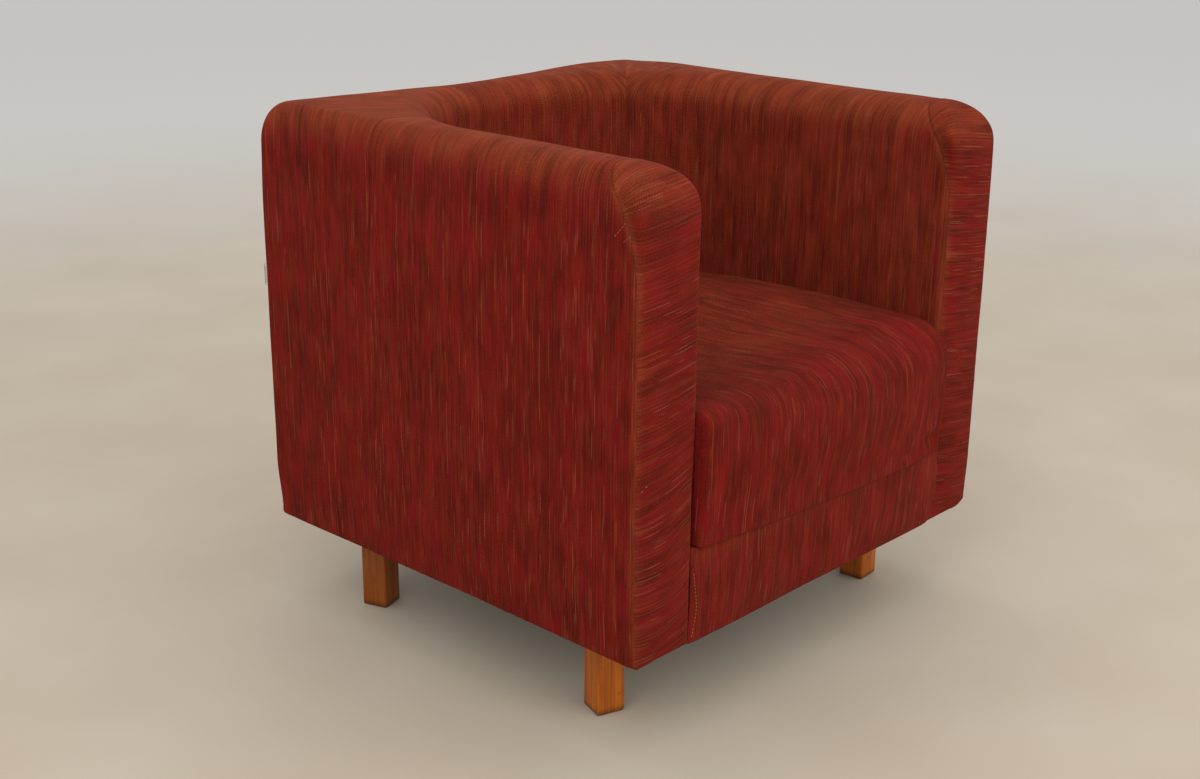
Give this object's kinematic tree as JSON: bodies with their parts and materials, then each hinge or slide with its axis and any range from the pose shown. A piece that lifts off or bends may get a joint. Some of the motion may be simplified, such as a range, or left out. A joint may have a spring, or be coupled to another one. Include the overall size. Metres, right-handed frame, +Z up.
{
  "type": "upholstered tub armchair",
  "caption": "Old square tub armchair in coarse red slub cloth with a half-round inside, a deep sprung seat and short square wooden legs, worn and a little sunken.",
  "frame": {"origin": "on the floor, under the middle of the whole chair with its proud seat", "axes": "+Z up, the sitter looks along -Y, the sitter's right arm is at -X"},
  "size_m": [0.7, 0.689, 0.692],
  "materials": {
    "slub_cloth": "coarse slub weave",
    "leg_wood": "worn golden lacquer",
    "frame_wood": "raw sawn",
    "board": "raw board",
    "foam": "aged foam",
    "wadding": "matt",
    "felt": "matt",
    "dust_cloth": "matt",
    "spring_steel": "oiled",
    "zinc_steel": "zinc plated"
  },
  "bodies": {
    "root": {"arm_foam_left": "foam", "arm_foam_right": "foam", "arm_front_board_left": "board", "arm_front_board_right": "board", "arm_top_board_left": "board", "arm_top_board_right": "board", "arm_top_pad_left": "wadding", "arm_top_pad_right": "wadding", "back_foam": "foam", "back_lower_board": "board", "back_panel": "board", "back_post_left": "frame_wood", "back_post_right": "frame_wood", "back_top_board": "board", "back_top_pad": "wadding", "corner_block_front_left": "frame_wood", "corner_block_front_right": "frame_wood", "corner_block_rear_left": "frame_wood", "corner_block_rear_right": "frame_wood", "dust_cover": "dust_cloth", "facing_cover_left": "slub_cloth", "facing_cover_right": "slub_cloth", "facing_pad_left": "wadding", "facing_pad_right": "wadding", "front_border": "slub_cloth", "front_rail": "frame_wood", "leg_bolt_front_left": "zinc_steel", "leg_bolt_front_right": "zinc_steel", "leg_bolt_rear_left": "zinc_steel", "leg_bolt_rear_right": "zinc_steel", "leg_front_left": "leg_wood", "leg_front_right": "leg_wood", "leg_rear_left": "leg_wood", "leg_rear_right": "leg_wood", "outside_back_cover": "slub_cloth", "rear_rail": "frame_wood", "seat_cover": "slub_cloth", "seat_foam": "foam", "side_panel_left": "board", "side_panel_right": "board", "side_rail_left": "frame_wood", "side_rail_right": "frame_wood", "spring_clip_front_1": "zinc_steel", "spring_clip_front_2": "zinc_steel", "spring_clip_front_3": "zinc_steel", "spring_clip_front_4": "zinc_steel", "spring_clip_rear_1": "zinc_steel", "spring_clip_rear_2": "zinc_steel", "spring_clip_rear_3": "zinc_steel", "spring_clip_rear_4": "zinc_steel", "spring_insulator": "felt", "tacking_rail_left": "frame_wood", "tacking_rail_right": "frame_wood", "tub_cover": "slub_cloth", "tub_liner": "board", "zigzag_spring_1": "spring_steel", "zigzag_spring_2": "spring_steel", "zigzag_spring_3": "spring_steel", "zigzag_spring_4": "spring_steel"}
  },
  "joints": []
}
